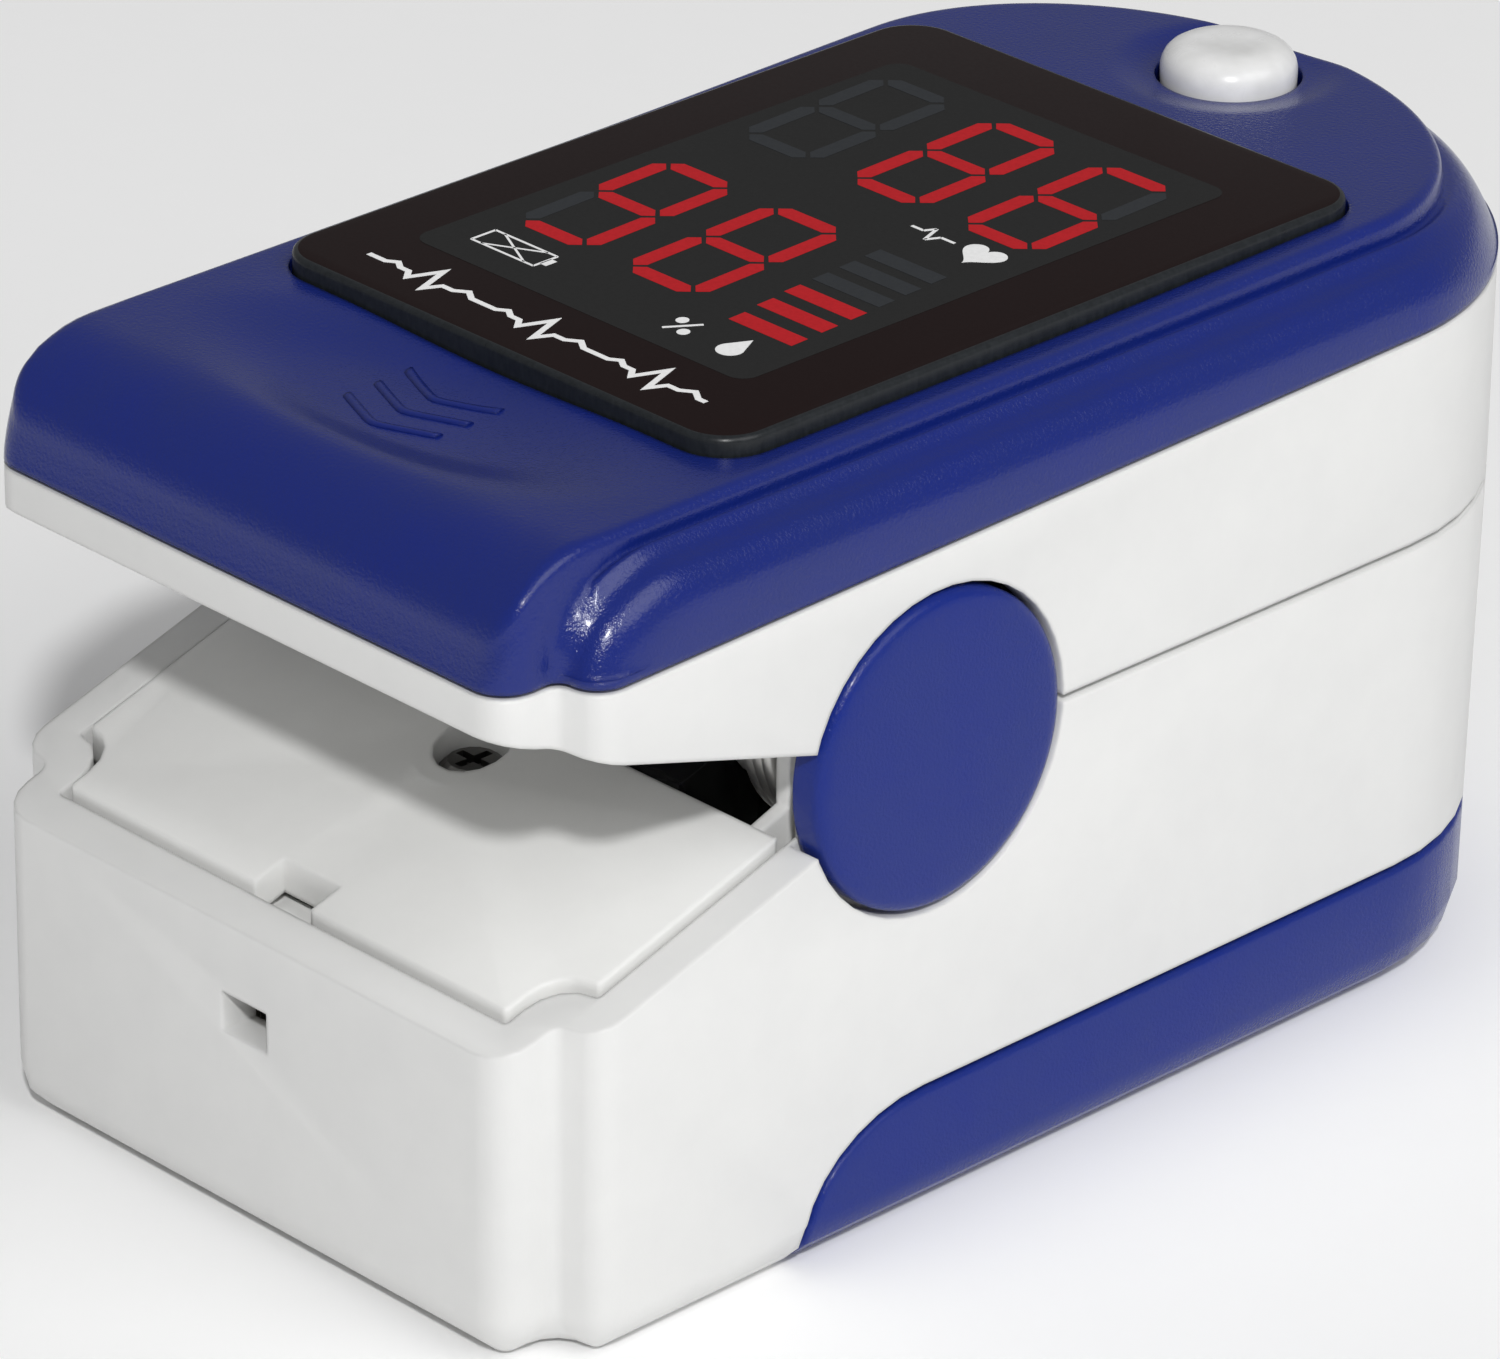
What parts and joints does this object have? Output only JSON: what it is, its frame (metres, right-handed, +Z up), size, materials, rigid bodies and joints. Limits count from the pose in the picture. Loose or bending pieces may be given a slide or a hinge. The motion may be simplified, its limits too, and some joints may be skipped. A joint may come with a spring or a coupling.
{
  "type": "fingertip pulse oximeter",
  "caption": "Sprung fingertip clamp with a display window and button on top, sensor pads inside and a battery door under the base.",
  "frame": {"origin": "middle of the flat base, under the centre of the object's box", "axes": "+Y towards the end that the finger enters, along the length; +X across the width; +Z up, out of the display"},
  "size_m": [0.0316, 0.057, 0.032],
  "materials": {
    "white_abs": "fine satin moulded plastic",
    "blue_abs": "satin moulded plastic, dark royal blue",
    "button_white": "semi-gloss moulded plastic",
    "black_silicone": "smooth silicone rubber",
    "window_black": "clear plastic with a black printed border",
    "display_grey": "dark grey segment display",
    "clear_red": "dark red filter window",
    "green_board": "solder-masked circuit board",
    "chip_black": "moulded epoxy",
    "spring_steel": "bright drawn wire and turned steel",
    "nickel": "nickel-plated sheet",
    "cell_jacket": "shrink-wrapped cell jacket",
    "ribbon": "amber polyimide flat cable"
  },
  "bodies": {
    "lower": {"lower_shell": "white_abs", "lower_frame": "white_abs", "lower_finger_pad": "black_silicone", "detector_board": "green_board", "detector_window": "clear_red", "cell_left": "cell_jacket", "cell_right": "cell_jacket", "contact_bridge": "nickel", "contact_left": "nickel", "contact_right": "nickel", "battery_spring_left": "spring_steel", "battery_spring_right": "spring_steel", "front_screw": "spring_steel", "rear_screw": "spring_steel", "hinge_pin_left": "spring_steel", "hinge_pin_right": "spring_steel", "hinge_cap_left": "blue_abs", "hinge_cap_right": "blue_abs", "torsion_spring_left": "spring_steel", "torsion_spring_right": "spring_steel", "sensor_ribbon": "ribbon"},
    "upper": {"upper_shell": "white_abs", "upper_frame": "white_abs", "upper_finger_pad": "black_silicone", "emitter_board": "green_board", "emitter_window": "clear_red", "top_cover": "blue_abs", "display_window": "window_black", "display_module": "display_grey", "main_board": "green_board", "processor": "chip_black", "button_switch": "chip_black", "board_screw_left": "spring_steel", "board_screw_right": "spring_steel"},
    "button": {"power_button": "button_white"},
    "plunger": {"switch_plunger": "chip_black"},
    "door": {"battery_door": "blue_abs"}
  },
  "joints": [
    {"name": "clamp_hinge", "type": "hinge", "parent": "lower", "child": "upper", "pos_m": [0, -0.0093, 0.0189], "axis": [1, 0, 0], "range_deg": [0, 28], "stiffness_Nm_per_rad": 0.11, "springref_deg": -34.38, "deforming": ["torsion_spring_left", "torsion_spring_right", "sensor_ribbon"]},
    {"name": "power_button_press", "type": "slide", "parent": "upper", "child": "button", "axis": [0, 0, -1], "range_m": [0, 0.0005], "stiffness_N_per_m": 2500, "springref_m": -0.0003},
    {"name": "switch_plunger_press", "type": "slide", "parent": "upper", "child": "plunger", "axis": [0, 0, -1], "range_m": [0, 0.0003]},
    {"name": "battery_door_slide", "type": "slide", "parent": "lower", "child": "door", "axis": [0, 1, 0], "range_m": [0, 0.046]}
  ],
  "couplings": [
    {"joint": "switch_plunger_press", "follows": "power_button_press", "ratio": 0.6}
  ]
}
